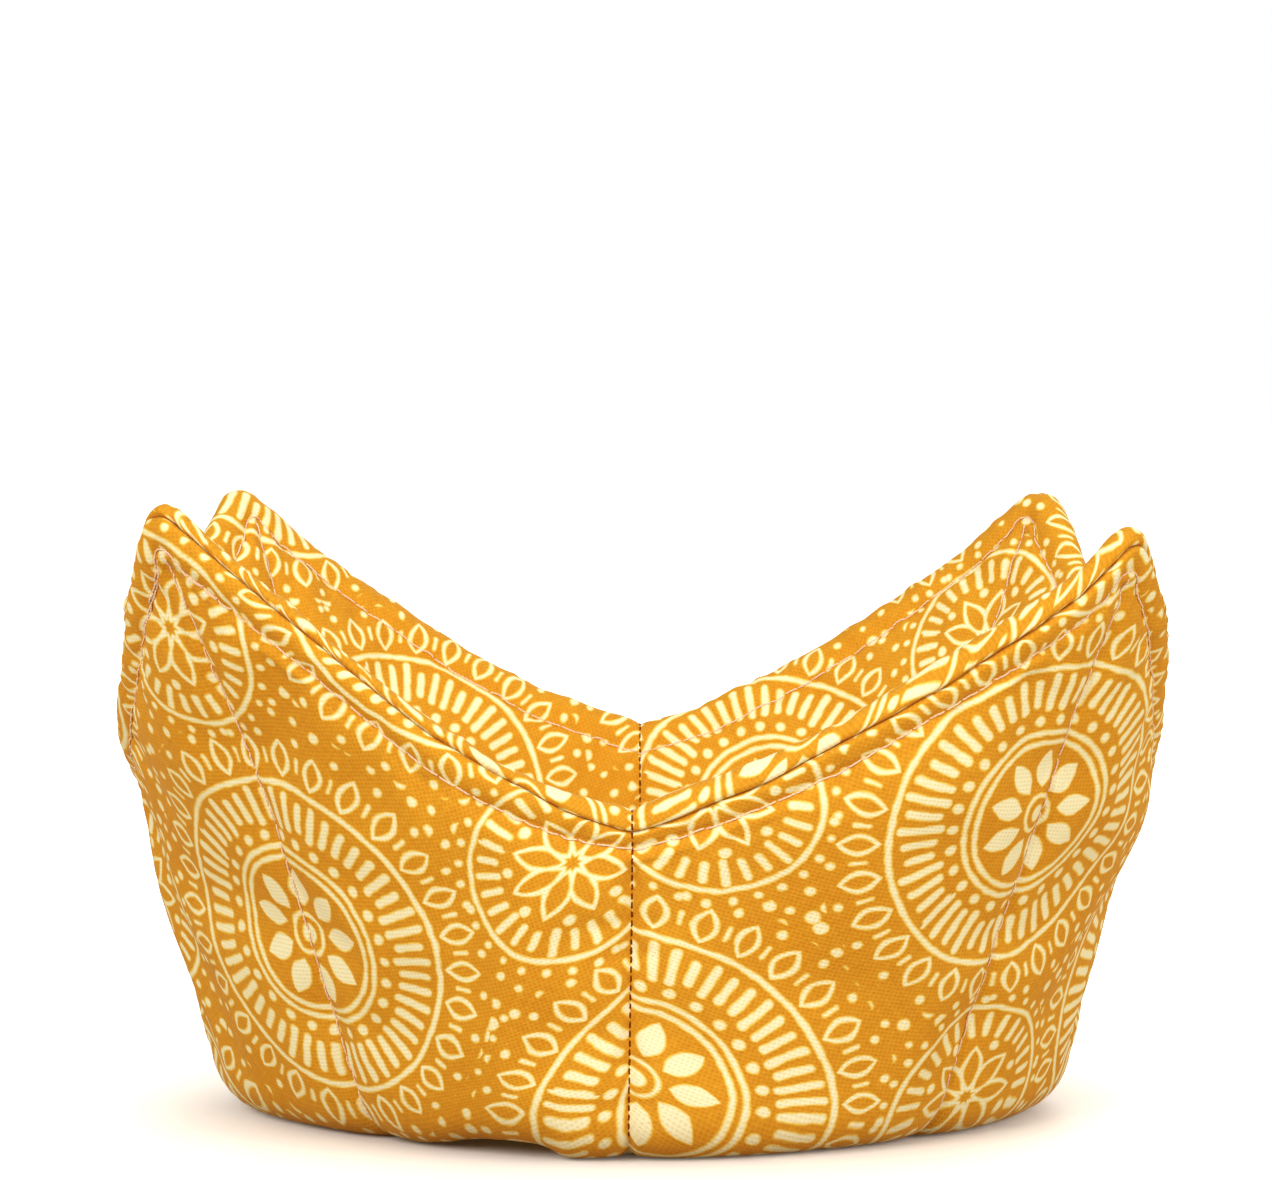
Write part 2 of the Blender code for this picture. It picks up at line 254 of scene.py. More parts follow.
def swell(points, wavelength, seed, count=16):
    """A smooth random field of about unit size, from plane waves."""
    rng = np.random.RandomState(seed)
    total = np.zeros(points.shape[:-1])
    for _ in range(count):
        direction = unit(rng.normal(size=3))
        size = 2 * math.pi / (wavelength * rng.uniform(0.7, 1.5))
        total += np.sin(points @ (direction * size) + rng.uniform(0, 2 * math.pi))
    return total / math.sqrt(count / 2)


def ripple(along, wavelength, seed):
    """The same along a line."""
    return swell(np.stack([along, 0 * along, 0 * along], axis=-1), wavelength, seed, 12)


# The grid of the cloth, shared by every layer: (side, column across the petal, row)
COLUMNS = 2 * HALF_COLUMNS + 1
ACROSS = np.linspace(0, 1, COLUMNS)
EVEN_SHARE = 1 - np.abs(2 * ACROSS - 1)
SHARE = EVEN_SHARE - 0.45 / (2 * math.pi) * np.sin(2 * math.pi * EVEN_SHARE)
MIRRORED = ACROSS > 0.5


class Layer:
    """One layer of cloth of one bowl, as a grid of points with their places in the flat cut."""

    def __init__(self, facing):
        self.facing = facing
        rim_top, slant = rim_rho(SHARE)
        corner = EIGHTH - (1 - SHARE) * EIGHTH
        base, top_of_fold = base_radius(corner), fold_end(corner)
        wall_top = rim_top - WALL_TOP_INSET / slant
        rows = [base * k / BASE_ROWS for k in range(1, BASE_ROWS + 1)]
        rows += [base + (top_of_fold - base) * k / FOLD_ROWS for k in range(1, FOLD_ROWS + 1)]
        rows += [top_of_fold + (wall_top - top_of_fold) * k / WALL_ROWS for k in range(1, WALL_ROWS)]
        self.plain_rows = len(rows)
        self.topstitch_row = self.plain_rows + HEM_ROWS
        self.seam_row = self.topstitch_row + ROLL_ROWS
        plain = np.broadcast_to(np.array(rows).T, (4, COLUMNS, len(rows)))

        # the rim: from the wall up to the topstitching, and over the roll to the seam, where it dives in
        from_dart = SHARE * (SIDE - DART_GAP)
        seam = self.seam_place(from_dart)
        hem = np.linspace(OUTLINE_WALL, OUTLINE_TOPSTITCH, HEM_ROWS + 1)
        part = 1 - (1 - np.arange(1, ROLL_ROWS + 1) / ROLL_ROWS) ** 1.6
        at = np.concatenate([
            np.broadcast_to(hem, (4, COLUMNS, HEM_ROWS + 1)),
            OUTLINE_TOPSTITCH + (seam[..., None] - OUTLINE_TOPSTITCH) * part,
            np.broadcast_to(seam[..., None], (4, COLUMNS, DIVE_ROWS)),
        ], axis=-1)
        place, away = on_outline(at)
        beside = np.abs(at - seam[..., None])
        lip = np.clip(LIP_RADIUS - beside, 0.0, LIP_RADIUS)
        inward = LIP_DEPTH * (1 - np.sqrt(1 - (lip / LIP_RADIUS) ** 2))
        inward[..., -DIVE_ROWS:] += DIVE_DEPTH * np.arange(1, DIVE_ROWS + 1) / DIVE_ROWS
        if facing > 0:
            inward += RECESS * np.exp(-beside / 1.3) * self.left_front(from_dart, 20 * MM, 84 * MM)
        place = place - away * inward[..., None]
        self.away = away
        rolled_rho = rim_top[None, :, None] - place[..., 0] * MM / slant[None, :, None]
        self.rho = np.concatenate([plain, rolled_rho], axis=-1)
        self.depth = np.concatenate([np.full(plain.shape, HALF_WALL), place[..., 1] * MM], axis=-1)
        self.run = np.concatenate([np.zeros(plain.shape), (OUTLINE_WALL - at + inward) * MM], axis=-1)
        self.rolled = np.arange(self.rho.shape[2]) >= self.plain_rows
        self.rim_top, self.slant = rim_top[None, :, None], slant[None, :, None]
        self.base = base[None, :, None]
        self.place()

    def left_front(self, from_dart, near, far):
        """1 on the front side of the front left corner's rim, between two distances from the front dart."""
        part = smooth((from_dart - near) / (10 * MM)) * smooth((far - from_dart) / (10 * MM)) * MIRRORED
        return (np.arange(4) == 2)[:, None, None] * part[None, :, None]

    def seam_place(self, from_dart):
        """Where the seam lies on the rim's outline, in millimetres from its top towards this layer's side."""
        corner = np.array(SEAM_AT_CORNERS)
        blend = smooth((ACROSS - 0.42) / 0.16)
        place = corner[:, :1] + (corner[:, 1:] - corner[:, :1]) * blend
        near_dart = np.exp(-((from_dart / (20 * MM)) ** 1.3))
        place = place + (SEAM_AT_DART - place) * near_dart
        along = from_dart[None] + np.arange(4)[:, None] * 0.3 + np.where(MIRRORED, 0.2, 0.0)
        wander = ripple(along, 17 * MM, 71) * 0.16 + ripple(along, 5 * MM, 72) * 0.05
        place = place + wander * (1 - near_dart) * smooth((1 - SHARE) / 0.1)
        return self.facing * place + LIP_GAP

    def place(self):
        share, mirrored = SHARE[None, :, None], MIRRORED[None, :, None]
        start = (np.arange(4) * 2 * EIGHTH)[:, None, None]
        local = EIGHTH - (1 - share) * EIGHTH * spread_at(self.rho)
        self.azimuth = start + np.where(mirrored, 2 * EIGHTH - local, local)
        self.normal = outward(self.rho, self.azimuth)
        self.middle = middle(self.rho, self.azimuth)
        flat = leg_angle(self.rho)
        flat = flat + share * (EIGHTH - flat)
        self.inset = (self.rim_top - self.rho) * self.slant
        flat_rho = np.where(self.rolled, self.rim_top - (WALL_TOP_INSET - self.run) / self.slant, self.rho)
        turned = start + np.where(mirrored, 2 * EIGHTH - flat, flat)
        self.cut = np.stack([flat_rho * np.cos(turned), flat_rho * np.sin(turned)], axis=-1)
        x, y = self.rho * np.cos(flat), self.rho * np.sin(flat)
        leg = unit(np.array([SIDE - DART_POINT, DART_GAP]))
        ahead = (x - DART_POINT) * leg[0] + y * leg[1]
        beside = np.abs((x - DART_POINT) * leg[1] - y * leg[0])
        self.from_dart = np.where(ahead > 0, beside, np.hypot(x - DART_POINT, y))
        self.from_diagonal = self.rho * np.sin(np.maximum(EIGHTH - flat, 0.0))
        self.along_rim = y + start * 0.3

    def relief(self, seed):
        """How far the stuffing and the stitches move the surface out from the wall's middle."""
        rho = self.rho
        below = np.maximum(self.inset - TOPSTITCH_INSET, 0.0)
        on_wall = smooth((rho - self.base + 1 * MM) / (14 * MM))
        free = 1 - np.exp(-self.from_diagonal / (4.5 * MM))
        free = free * (1 - np.exp(-self.from_dart / (3.2 * MM)))
        free = free * (1 - np.exp(-below / (4.0 * MM)))
        plump = on_wall * 0.75 if self.facing > 0 else 0.35 + 0.35 * on_wall
        change = (-0.75 + (0.75 + plump) * free) * MM
        pulled = 0.34 * np.exp(-((self.from_diagonal / (0.8 * MM)) ** 2))
        pulled += 0.55 * np.exp(-((self.from_dart / (0.8 * MM)) ** 2)) * (rho > DART_POINT)
        change -= pulled * MM
        wide = swell(self.middle, 46 * MM, seed) * 0.45 + swell(self.middle, 19 * MM, seed + 1) * 0.12
        change += wide * on_wall * (0.25 + 0.75 * free) * MM
        # wrinkles that run out from each line of stitches
        for number, (distance, along, size, reach) in enumerate((
            (self.from_diagonal, rho, 0.20, 6.0),
            (self.from_dart, rho, 0.18, 5.5),
            (np.abs(self.inset - TOPSTITCH_INSET), self.along_rim, 0.26, 6.0),
        )):
            bent = along + 0.35 * distance * ripple(along, 40 * MM, seed + 9 + number)
            near = np.exp(-distance / (reach * MM)) * (1 - np.exp(-distance / (0.6 * MM)) * 0.6)
            crease = ripple(bent, 7.5 * MM, seed + 3 + number)
            crease = crease + 0.6 * ripple(bent, 3.6 * MM, seed + 6 + number)
            change += size * crease * near * (0.3 + 0.7 * on_wall) * MM
        return change

    def pucker(self, seed):
        """How far the rim swells and pinches along its length, square to its outline."""
        rolled = self.rolled
        from_dart = self.from_dart[..., rolled]
        run, along = self.run[..., rolled], self.along_rim[..., rolled]
        reach = run[..., -DIVE_ROWS - 1:-DIVE_ROWS]
        over = smooth((run - 1.0 * MM) / (2 * MM)) * smooth((reach - run) / (1.4 * MM) + 0.45)
        slanting = along + 0.3 * run * (1 + ripple(along, 30 * MM, seed + 20))
        change = 0.13 * ripple(slanting, 5.2 * MM, seed + 21) + 0.20 * ripple(slanting, 13 * MM, seed + 22)
        # the twisted look of the gathered rim, most of all at the front left corner and near the seam
        rope = self.left_front(SHARE * (SIDE - DART_GAP), 44 * MM, 110 * MM)
        rope = rope + 0.30 * smooth((self.rho[..., rolled] - 0.150) / 0.014)
        from_seam = np.maximum(reach - run, 0.0)
        reaches = (1.6 if self.facing > 0 else 3.1) * MM
        rope = rope * np.exp(-((from_seam / reaches) ** 2))
        twist = (from_dart + 0.55 * run) * (2 * math.pi / (3.3 * MM))
        twist = twist + 1.1 * ripple(along, 14 * MM, seed + 23)
        change = change + 1.25 * np.minimum(rope, 1.0) * (np.abs(np.sin(twist / 2)) ** 0.6 - 0.74)
        stitch = np.cos(self.along_rim[..., rolled] * (2 * math.pi / (3.1 * MM)))
        at_stitch = np.exp(-np.abs(run - self.run[0, 0, self.topstitch_row]) / (1.5 * MM))
        return (change * over + 0.06 * stitch * at_stitch) * MM

    def build(self, seed):
        """Set the points of the even bowl, with its stuffing, stitch lines and puckers."""
        change = self.relief(seed) * np.where(self.rolled, np.exp(-self.run / (2.0 * MM)), 1.0)
        self.points = self.middle + self.normal * (self.facing * (self.depth + change))[..., None]
        rolled, step = self.rolled, 1e-5
        up = middle(self.rho + step, self.azimuth) - middle(self.rho - step, self.azimuth)
        up = unit(up)[..., rolled, :]
        away = self.facing * self.away[..., 1:] * self.normal[..., rolled, :] - self.away[..., :1] * up
        change = self.pucker(seed)
        dart_notch = np.exp(-self.from_dart[..., rolled] / (0.9 * MM))
        change = change - 0.45 * MM * dart_notch * smooth(self.run[..., rolled] / (4 * MM))
        self.points[..., rolled, :] += away * change[..., None]
        return self

    def finish(self):
        """The foot rests flat on the table, and the whole takes the real bowl's uneven shape."""
        if self.facing > 0:
            low = 0.12 * MM
            z = self.points[..., 2]
            flattened = low * 0.5 + 0.5 * low * np.exp(np.minimum((z - low) / low, 0))
            self.points[..., 2] = np.where(z < low, flattened, z)
        self.points = shape_by_hand(self.points)
        self.core = shape_by_hand(self.middle + self.normal * (self.facing * 0.4 * MM))
        return self


# How far the real rim's front edge stands above the even shape, by the distance from the front dart, in
# millimetres
LEFT_EDGE = ((0, -0.9), (11, -1.9), (24, -1.9), (32, -1.7), (41, 0.0), (50, 1.6), (60, 2.6), (76, 2.6))
RIGHT_EDGE = ((0, -0.9), (11, -0.5), (24, -0.2), (41, 0.0), (50, -0.4), (56, -1.3), (66, -2.3), (78, -0.8))


def shape_by_hand(points):
    """The real bowl isn't even: its front corners turn to the right, and its front foot is lifted."""
    x, y, z = points[..., 0], points[..., 1], points[..., 2]
    moved = points.copy()
    front = smooth(-y / (40 * MM))
    turn = np.arctan2(x, np.maximum(-y, 1e-6))
    corner = np.sin(2 * turn) ** 2 * front
    dart = np.exp(-((turn / math.radians(22)) ** 2)) * front
    tip = smooth((z - 0.060) / 0.040)
    moved[..., 0] += (corner * (2.0 - 1.1 * tip) - dart * (1.8 - 0.6 * smooth(z / 0.055))) * MM
    moved[..., 0] += corner * tip * np.where(x > 0, 1.9, -1.9 + 0.1) * MM
    height = np.clip((z - 0.018) / (0.045 + 0.0006 * np.abs(x) / MM), 0.0, 1.0)
    left = np.interp(-x / MM, *zip(*LEFT_EDGE))
    right = np.interp(x / MM, *zip(*RIGHT_EDGE))
    moved[..., 2] += np.where(x < 0, left, right) * smooth(-y / (30 * MM)) * height * MM
    # both sides have a waist, the right-hand one stands a little steeper, and the rim rolls out at its dart
    left_side, right_side = smooth((-x - 0.050) / 0.030), smooth((x - 0.050) / 0.030)
    moved[..., 0] += 1.5 * MM * left_side * np.exp(-(((z - 0.050) / 0.009) ** 2))
    moved[..., 0] -= 1.4 * MM * right_side * np.exp(-(((z - 0.037) / 0.013) ** 2))
    moved[..., 0] -= 1.1 * MM * right_side * np.exp(-(((z - 0.071) / 0.012) ** 2))
    at_dart = np.exp(-(((z - 0.054) / 0.005) ** 2)) * np.exp(-((y / 0.016) ** 2))
    moved[..., 0] += 1.0 * MM * right_side * at_dart
    across = (x + 0.0225) / 0.0105
    lift = np.exp(-np.abs(across) ** np.where(across > 0, 6.0, 2.5)) * smooth((-y - 0.038) / 0.020)
    moved[..., 2] += 2.3 * MM * lift * smooth(1 - z / 0.018)
    return moved


def mesh_object(name, verts, faces, uvs):
    mesh = bpy.data.meshes.new(name)
    mesh.from_pydata(verts.tolist(), [], faces)
    mesh.uv_layers.new(name=CUT_PLANE).data.foreach_set("uv", np.array(uvs, np.float32).ravel())
    mesh.shade_smooth()
    mesh.update()
    made = bpy.data.objects.new(name, mesh)
    bpy.context.scene.collection.objects.link(made)
    return made


def sheet_object(name, layer, closed_inside=None):
    """A mesh of a layer's grid, with the flat cut as its UV map. closed_inside closes it into a solid."""
    layers = [layer] if closed_inside is None else [layer, closed_inside]
    columns = layer.points.shape[1]
    wide = 4 * (columns - 1)
    verts, faces, cuts, rings = [], [], [], []
    for number, one in enumerate(layers):
        order = range(one.points.shape[2])
        for row in order if number == 0 else reversed(order):
            rings.append((len(rings), number, row))
            verts.append(one.points[:, :-1, row].reshape(-1, 3))
    verts = np.concatenate(verts)
    base = np.arange(wide).reshape(4, columns - 1)
    right = np.concatenate([base[:, 1:], np.roll(base, -1, axis=0)[:, :1]], axis=1)
    for (low, n0, r0), (high, n1, r1) in zip(rings, rings[1:]):
        a, b = low * wide + base, low * wide + right
        c, d = high * wide + right, high * wide + base
        faces.append(np.stack([a, b, c, d], axis=-1).reshape(-1, 4))
        low_cut, high_cut = layers[n0].cut[:, :, r0], layers[n1].cut[:, :, r1]
        corners = [low_cut[:, :-1], low_cut[:, 1:], high_cut[:, 1:], high_cut[:, :-1]]
        cuts.append(np.stack(corners, axis=2).reshape(-1, 4, 2))
    quads, quad_cuts = np.concatenate(faces), np.concatenate(cuts)
    ends = rings[:1] if closed_inside is None else [rings[0], rings[-1]]
    fans, fan_cuts = [], []
    for ring, number, row in ends:
        centre = len(verts)
        middle_point = layers[number].points[:, :, row].reshape(-1, 3).mean(axis=0)
        verts = np.vstack([verts, middle_point])
        a, b = ring * wide + base, ring * wide + right
        centres = np.full_like(a, centre)
        fan = np.stack([centres, b, a] if ring == 0 else [centres, a, b], axis=-1)
        fans.append(fan.reshape(-1, 3))
        cut = layers[number].cut[:, :, row]
        zero = np.zeros_like(cut[:, 1:])
        order = [zero, cut[:, 1:], cut[:, :-1]] if ring == 0 else [zero, cut[:, :-1], cut[:, 1:]]
        fan_cuts.append(np.stack(order, axis=2).reshape(-1, 3, 2))
    triangles, triangle_cuts = np.concatenate(fans), np.concatenate(fan_cuts)
    if layer.facing < 0:
        quads, quad_cuts = quads[:, ::-1], quad_cuts[:, ::-1]
        triangles, triangle_cuts = triangles[:, ::-1], triangle_cuts[:, ::-1]
    loops = np.concatenate([quad_cuts.reshape(-1, 2), triangle_cuts.reshape(-1, 2)])
    return mesh_object(name, verts, quads.tolist() + triangles.tolist(), loops)


def ring_line(layer, row):
    """The closed line of a row all round the rim: points, outward normals."""
    grid = layer.points[:, :-1]
    line = grid[:, :, row].reshape(-1, 3)
    rows_apart = grid[:, :, row + 2].reshape(-1, 3) - grid[:, :, row - 2].reshape(-1, 3)
    around = np.roll(line, -1, axis=0) - np.roll(line, 1, axis=0)
    normal = unit(np.cross(around, rows_apart)) * layer.facing
    return np.vstack([line, line[:1]]), np.vstack([normal, normal[:1]])


def second_row(line_and_normals):
    """The end of the topstitching, sewn over its start near the tip of the front left corner."""
    line, normal = line_and_normals
    first, last = int(2.36 * (COLUMNS - 1)), int(2.58 * (COLUMNS - 1))
    part, out = line[first:last], normal[first:last]
    beside = unit(np.cross(np.gradient(part, axis=0), out))
    apart = np.sin(np.linspace(0.0, 2.6, len(part)))[:, None] * 0.55 * MM
    return part + beside * apart, out


def column_line(layer, side, column, first_row, last_row):
    """The line of a column from one row to another: points, outward normals."""
    rows = slice(first_row, last_row)
    line = layer.points[side, column, rows]
    if column == 0:
        before = layer.points[(side - 1) % 4, COLUMNS - 2, rows]
    else:
        before = layer.points[side, column - 1, rows]
    across = layer.points[side, column + 1, rows] - before
    along = np.gradient(line, axis=0)
    return line, unit(np.cross(across, along)) * layer.facing


# One stitch from end to end: how far along its rings are, how high they arch and how thick the thread is
STITCH_SPOTS = np.array([0.0, 0.03, 0.12, 0.28, 0.5, 0.72, 0.88, 0.97, 1.0])
STITCH_ARCH = np.array([-1.0, -0.15, 0.62, 0.92, 1.0, 0.92, 0.62, -0.15, -1.0])
STITCH_THICKNESS = np.array([0.75, 0.9, 1, 1, 1, 1, 1, 0.9, 0.75])
STITCH_SIDES = 8


def stitches(name, runs, seed, pitch, gap, radius, arch, sway, sink=0.0):
    """Separate stitches along each run of (points, normals): arcs of thread whose ends dive into the cloth."""
    rng = np.random.RandomState(seed)
    shape, spots, sides, steps = STITCH_ARCH, STITCH_SPOTS, STITCH_SIDES, len(STITCH_SPOTS)
    angles = np.linspace(0, 2 * math.pi, sides, endpoint=False)
    verts, faces, uvs = [], [], []
    for line, normals in runs:
        length = np.concatenate([[0], np.cumsum(np.linalg.norm(np.diff(line, axis=0), axis=1))])
        count = max(int(round(length[-1] / pitch)), 1)
        step = length[-1] / count
        for number in range(count):
            start = number * step + gap / 2 + rng.uniform(-0.06, 0.06) * step
            end = (number + 1) * step - gap / 2 + rng.uniform(-0.06, 0.06) * step
            at = np.clip(start + (end - start) * spots, 0, length[-1])
            p = np.stack([np.interp(at, length, line[:, k]) for k in range(3)], axis=1)
            n = unit(np.stack([np.interp(at, length, normals[:, k]) for k in range(3)], axis=1))
            tangent = unit(np.gradient(p, axis=0))
            side = unit(np.cross(tangent, n))
            high = np.where(shape > 0, shape * arch * rng.uniform(0.7, 1.35), shape * 1.6 * radius)
            bow = np.sin(math.pi * spots) * rng.normal() * sway * MM
            lean = rng.normal() * 0.5 * sway * MM * (2 * spots - 1)
            p = p + n * (high + radius * 0.55 - sink)[:, None] + side * (bow + lean)[:, None]
            tangent = unit(np.gradient(p, axis=0))
            side = unit(np.cross(tangent, n))
            top = np.cross(side, tangent)
            thick = radius * STITCH_THICKNESS
            rings = p[:, None] + thick[:, None, None] * (
                np.cos(angles)[None, :, None] * side[:, None] + np.sin(angles)[None, :, None] * top[:, None]
            )
            base = len(verts) * steps * sides
            verts.append(rings.reshape(-1, 3))
            index = np.arange(steps * sides).reshape(steps, sides) + base
            nxt = np.roll(index, -1, axis=1)
            quads = np.stack([index[:-1], index[1:], nxt[1:], nxt[:-1]], axis=-1).reshape(-1, 4)
            faces += quads.tolist()
            faces.append(index[0].tolist())
            faces.append(index[-1][::-1].tolist())
            turn = np.linspace(0, 1, sides + 1)
            for here, there in zip(at, at[1:]):
                for low, high in zip(turn, turn[1:]):
                    uvs += [(here, low), (there, low), (there, high), (here, high)]
            uvs += [(at[0], 0.0)] * sides + [(at[-1], 0.0)] * sides
    return mesh_object(name, np.concatenate(verts), faces, uvs)


def add_node(tree, kind, inputs, **settings):
    """A new node. inputs holds a number, colour or socket for each input, by its name or place."""
    node = tree.nodes.new("ShaderNode" + kind)
    for key, value in settings.items():
        setattr(node, key, value)
    for key, value in inputs.items():
        value = value.socket if isinstance(value, Maths) else value
        if isinstance(value, bpy.types.NodeSocket):
            tree.links.new(value, node.inputs[key])
        else:
            node.inputs[key].default_value = value
    return node


class Maths:
    """A number in a material's node tree, so that a formula reads as one."""

    def __init__(self, tree, socket):
        self.tree, self.socket = tree, socket

    def _node(self, operation, *others, clamp=False):
        inputs = dict(enumerate((self, *others)))
        node = add_node(self.tree, "Math", inputs, operation=operation, use_clamp=clamp)
        return Maths(self.tree, node.outputs[0])

    __add__ = __radd__ = partialmethod(_node, "ADD")
    __sub__ = partialmethod(_node, "SUBTRACT")
    __mul__ = __rmul__ = partialmethod(_node, "MULTIPLY")
    __truediv__ = partialmethod(_node, "DIVIDE")
    at_least = partialmethod(_node, "MAXIMUM")
    at_most = partialmethod(_node, "MINIMUM")
    angle_of = partialmethod(_node, "ARCTAN2")
    size = partialmethod(_node, "ABSOLUTE")
    root = partialmethod(_node, "SQRT")
    sine = partialmethod(_node, "SINE")
    cosine = partialmethod(_node, "COSINE")
    part = partialmethod(_node, "FRACT")
    whole = partialmethod(_node, "FLOOR")
    limited = partialmethod(_node, "ADD", 0.0, clamp=True)  # kept between 0 and 1

    def __rsub__(self, other):
        return (self * -1.0) + other

    def below(self, edge, soft):
        """1 where this number is under edge, 0 above it, blended over soft."""
        return ((edge - self) / soft + 0.5).limited()

    def hypot(self, other):
        return (self * self + other * other).root()


class Paint:
    """A material under construction."""

    def __init__(self, name):
        self.material = bpy.data.materials.new(name)
        self.material.use_nodes = True
        self.tree = self.material.node_tree
        self.shader = self.tree.nodes["Principled BSDF"]

    def cut(self, scale):
        """The place in the flat cut, as two numbers, times scale."""
        place = add_node(self.tree, "UVMap", {}, uv_map=CUT_PLANE)
        node = add_node(self.tree, "SeparateXYZ", {0: place.outputs[0]})
        return Maths(self.tree, node.outputs[0]) * scale, Maths(self.tree, node.outputs[1]) * scale

    def vector(self, x, y):
        return add_node(self.tree, "CombineXYZ", {0: x, 1: y}).outputs[0]

    def noise(self, vector, scale, detail=2.0, roughness=0.5):
        inputs = {"Vector": vector, "Scale": scale, "Detail": detail, "Roughness": roughness}
        return Maths(self.tree, add_node(self.tree, "TexNoise", inputs).outputs[0])

    def chance(self, x, y):
        """A random number from 0 to 1 for each pair of whole numbers."""
        node = add_node(self.tree, "TexWhiteNoise", {"Vector": self.vector(x, y)}, noise_dimensions="2D")
        return Maths(self.tree, node.outputs["Value"])

    def cells(self, vector, scale, randomness):
        """Voronoi cells: the distance to the nearest point, and a random number of that point's."""
        inputs = {"Vector": vector, "Scale": scale, "Randomness": randomness}
        node = add_node(self.tree, "TexVoronoi", inputs, voronoi_dimensions="2D")
        split = add_node(self.tree, "SeparateColor", {0: node.outputs["Color"]})
        return Maths(self.tree, node.outputs["Distance"]), Maths(self.tree, split.outputs[0])

    def mix(self, share, first, second):
        """A colour between two, each a colour or a socket."""
        first, second = ((*value, 1.0) if isinstance(value, tuple) else value for value in (first, second))
        return add_node(self.tree, "Mix", {0: share, 6: first, 7: second}, data_type="RGBA").outputs[2]

    def finish(self, colour, height, strength, distance, levels):
        """The material, with its colour, its bump and the levels of the shader's other inputs."""
        self.tree.links.new(colour, self.shader.inputs["Base Color"])
        for name, level in levels.items():
            self.shader.inputs[name].default_value = level
        bump = add_node(self.tree, "Bump", {"Strength": strength, "Distance": distance, "Height": height})
        self.tree.links.new(bump.outputs[0], self.shader.inputs["Normal"])
        return self.material


def strokes(radius, angle, low, high, count, half_width, turn=0.0, jitter=None, paint=None):
    """Distance, in mm, to a ring of round-ended strokes that point outward from radius low to high."""
    sector = angle * (count / (2 * math.pi)) + (turn + 0.5)
    across = (sector.part() - 0.5) * radius * (2 * math.pi / count)
    half = (high - low) / 2
    along = (radius - (low + high) / 2).size()
    if jitter:
        luck = paint.chance(sector.whole(), jitter)
        along = along - (luck * 0.5 + 0.62) * half
    else:
        along = along - half
    return across.hypot(along.at_least(0.0)) - half_width


def leaves(radius, angle, low, high, count, half_width, turn=0.0):
    """Distance to a ring of leaf shapes, pointed at both ends."""
    sector = angle * (count / (2 * math.pi)) + (turn + 0.5)
    across = ((sector.part() - 0.5) * radius * (2 * math.pi / count)).size()
    along = (radius - (low + high) / 2) * (2 / (high - low))
    return across - (1.0 - along * along) * half_width


def ring(radius, at, half_width):
    """Distance to a plain ring."""
    return (radius - at).size() - half_width


def dots(radius, angle, at, count, half_width, turn=0.0):
    """Distance to a ring of round dots."""
    return strokes(radius, angle, at, at + 0.01, count, half_width, turn)


# The print, in millimetres of the flat cut: how far apart its rosettes repeat, how far out seeds stay clear of
# them, how many seeds there are to a millimetre, and how wide one thread of the canvas is
PRINT_REPEAT = 76.0
LARGE_ROSETTE = 37.2
SMALL_ROSETTE = 20.2
SEEDS_PER_MM = 0.27
CANVAS_THREAD = 0.48


